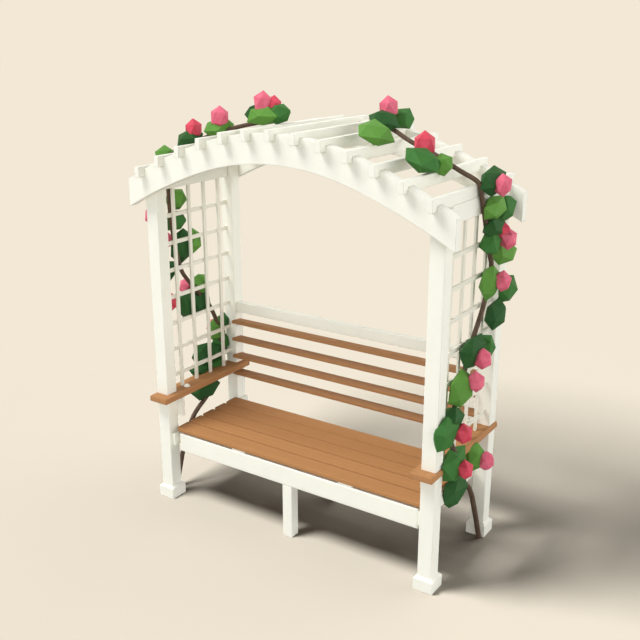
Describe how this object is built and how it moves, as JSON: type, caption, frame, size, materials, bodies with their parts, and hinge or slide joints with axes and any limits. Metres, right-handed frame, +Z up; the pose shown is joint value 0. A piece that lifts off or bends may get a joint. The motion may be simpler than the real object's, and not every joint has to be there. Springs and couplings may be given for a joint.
{
  "type": "garden arbour seat",
  "caption": "Garden bench set in a posted frame with lattice sides, an arched slatted roof and climbing roses on both sides.",
  "frame": {"origin": "on the ground, under the middle of the plan", "axes": "+Z up, the front at -Y, +X to the right as seen from the front"},
  "size_m": [1.8538, 0.83, 2.1895],
  "materials": {
    "white_paint": "satin white paint",
    "cap_white": "matt",
    "oiled_wood": "oiled",
    "rose_stem": "rough bark",
    "leaf_dark": "matt",
    "leaf_mid": "matt",
    "leaf_light": "matt",
    "bloom_pink": "matt",
    "bloom_red": "matt"
  },
  "bodies": {
    "root": {"arch_front": "white_paint", "arch_rear": "white_paint", "arm_bracket_left": "white_paint", "arm_bracket_right": "white_paint", "arm_caps": "cap_white", "armrest_left": "oiled_wood", "armrest_right": "oiled_wood", "back_rail": "white_paint", "back_slat_1": "oiled_wood", "back_slat_2": "oiled_wood", "back_slat_3": "oiled_wood", "back_slat_4": "oiled_wood", "bloom_pink": "bloom_pink", "bloom_red": "bloom_red", "centre_leg_front": "white_paint", "centre_leg_rear": "white_paint", "foot_front_left": "white_paint", "foot_front_right": "white_paint", "foot_rear_left": "white_paint", "foot_rear_right": "white_paint", "header_left": "white_paint", "header_right": "white_paint", "lattice_rungs_left": "white_paint", "lattice_rungs_right": "white_paint", "lattice_uprights_left": "white_paint", "lattice_uprights_right": "white_paint", "leaf_dark": "leaf_dark", "leaf_light": "leaf_light", "leaf_mid": "leaf_mid", "post_front_left": "white_paint", "post_front_right": "white_paint", "post_rear_left": "white_paint", "post_rear_right": "white_paint", "roof_slat_01": "white_paint", "roof_slat_02": "white_paint", "roof_slat_03": "white_paint", "roof_slat_04": "white_paint", "roof_slat_05": "white_paint", "roof_slat_06": "white_paint", "roof_slat_07": "white_paint", "roof_slat_08": "white_paint", "roof_slat_09": "white_paint", "roof_slat_10": "white_paint", "roof_slat_11": "white_paint", "roof_slat_12": "white_paint", "roof_slat_13": "white_paint", "seat_batten_left": "white_paint", "seat_batten_right": "white_paint", "seat_rail_front": "white_paint", "seat_rail_rear": "white_paint", "seat_slat_1": "oiled_wood", "seat_slat_2": "oiled_wood", "seat_slat_3": "oiled_wood", "seat_slat_4": "oiled_wood", "seat_slat_5": "oiled_wood", "side_bearer_left": "white_paint", "side_bearer_right": "white_paint", "stem_left": "rose_stem", "stem_right": "rose_stem"}
  },
  "joints": []
}
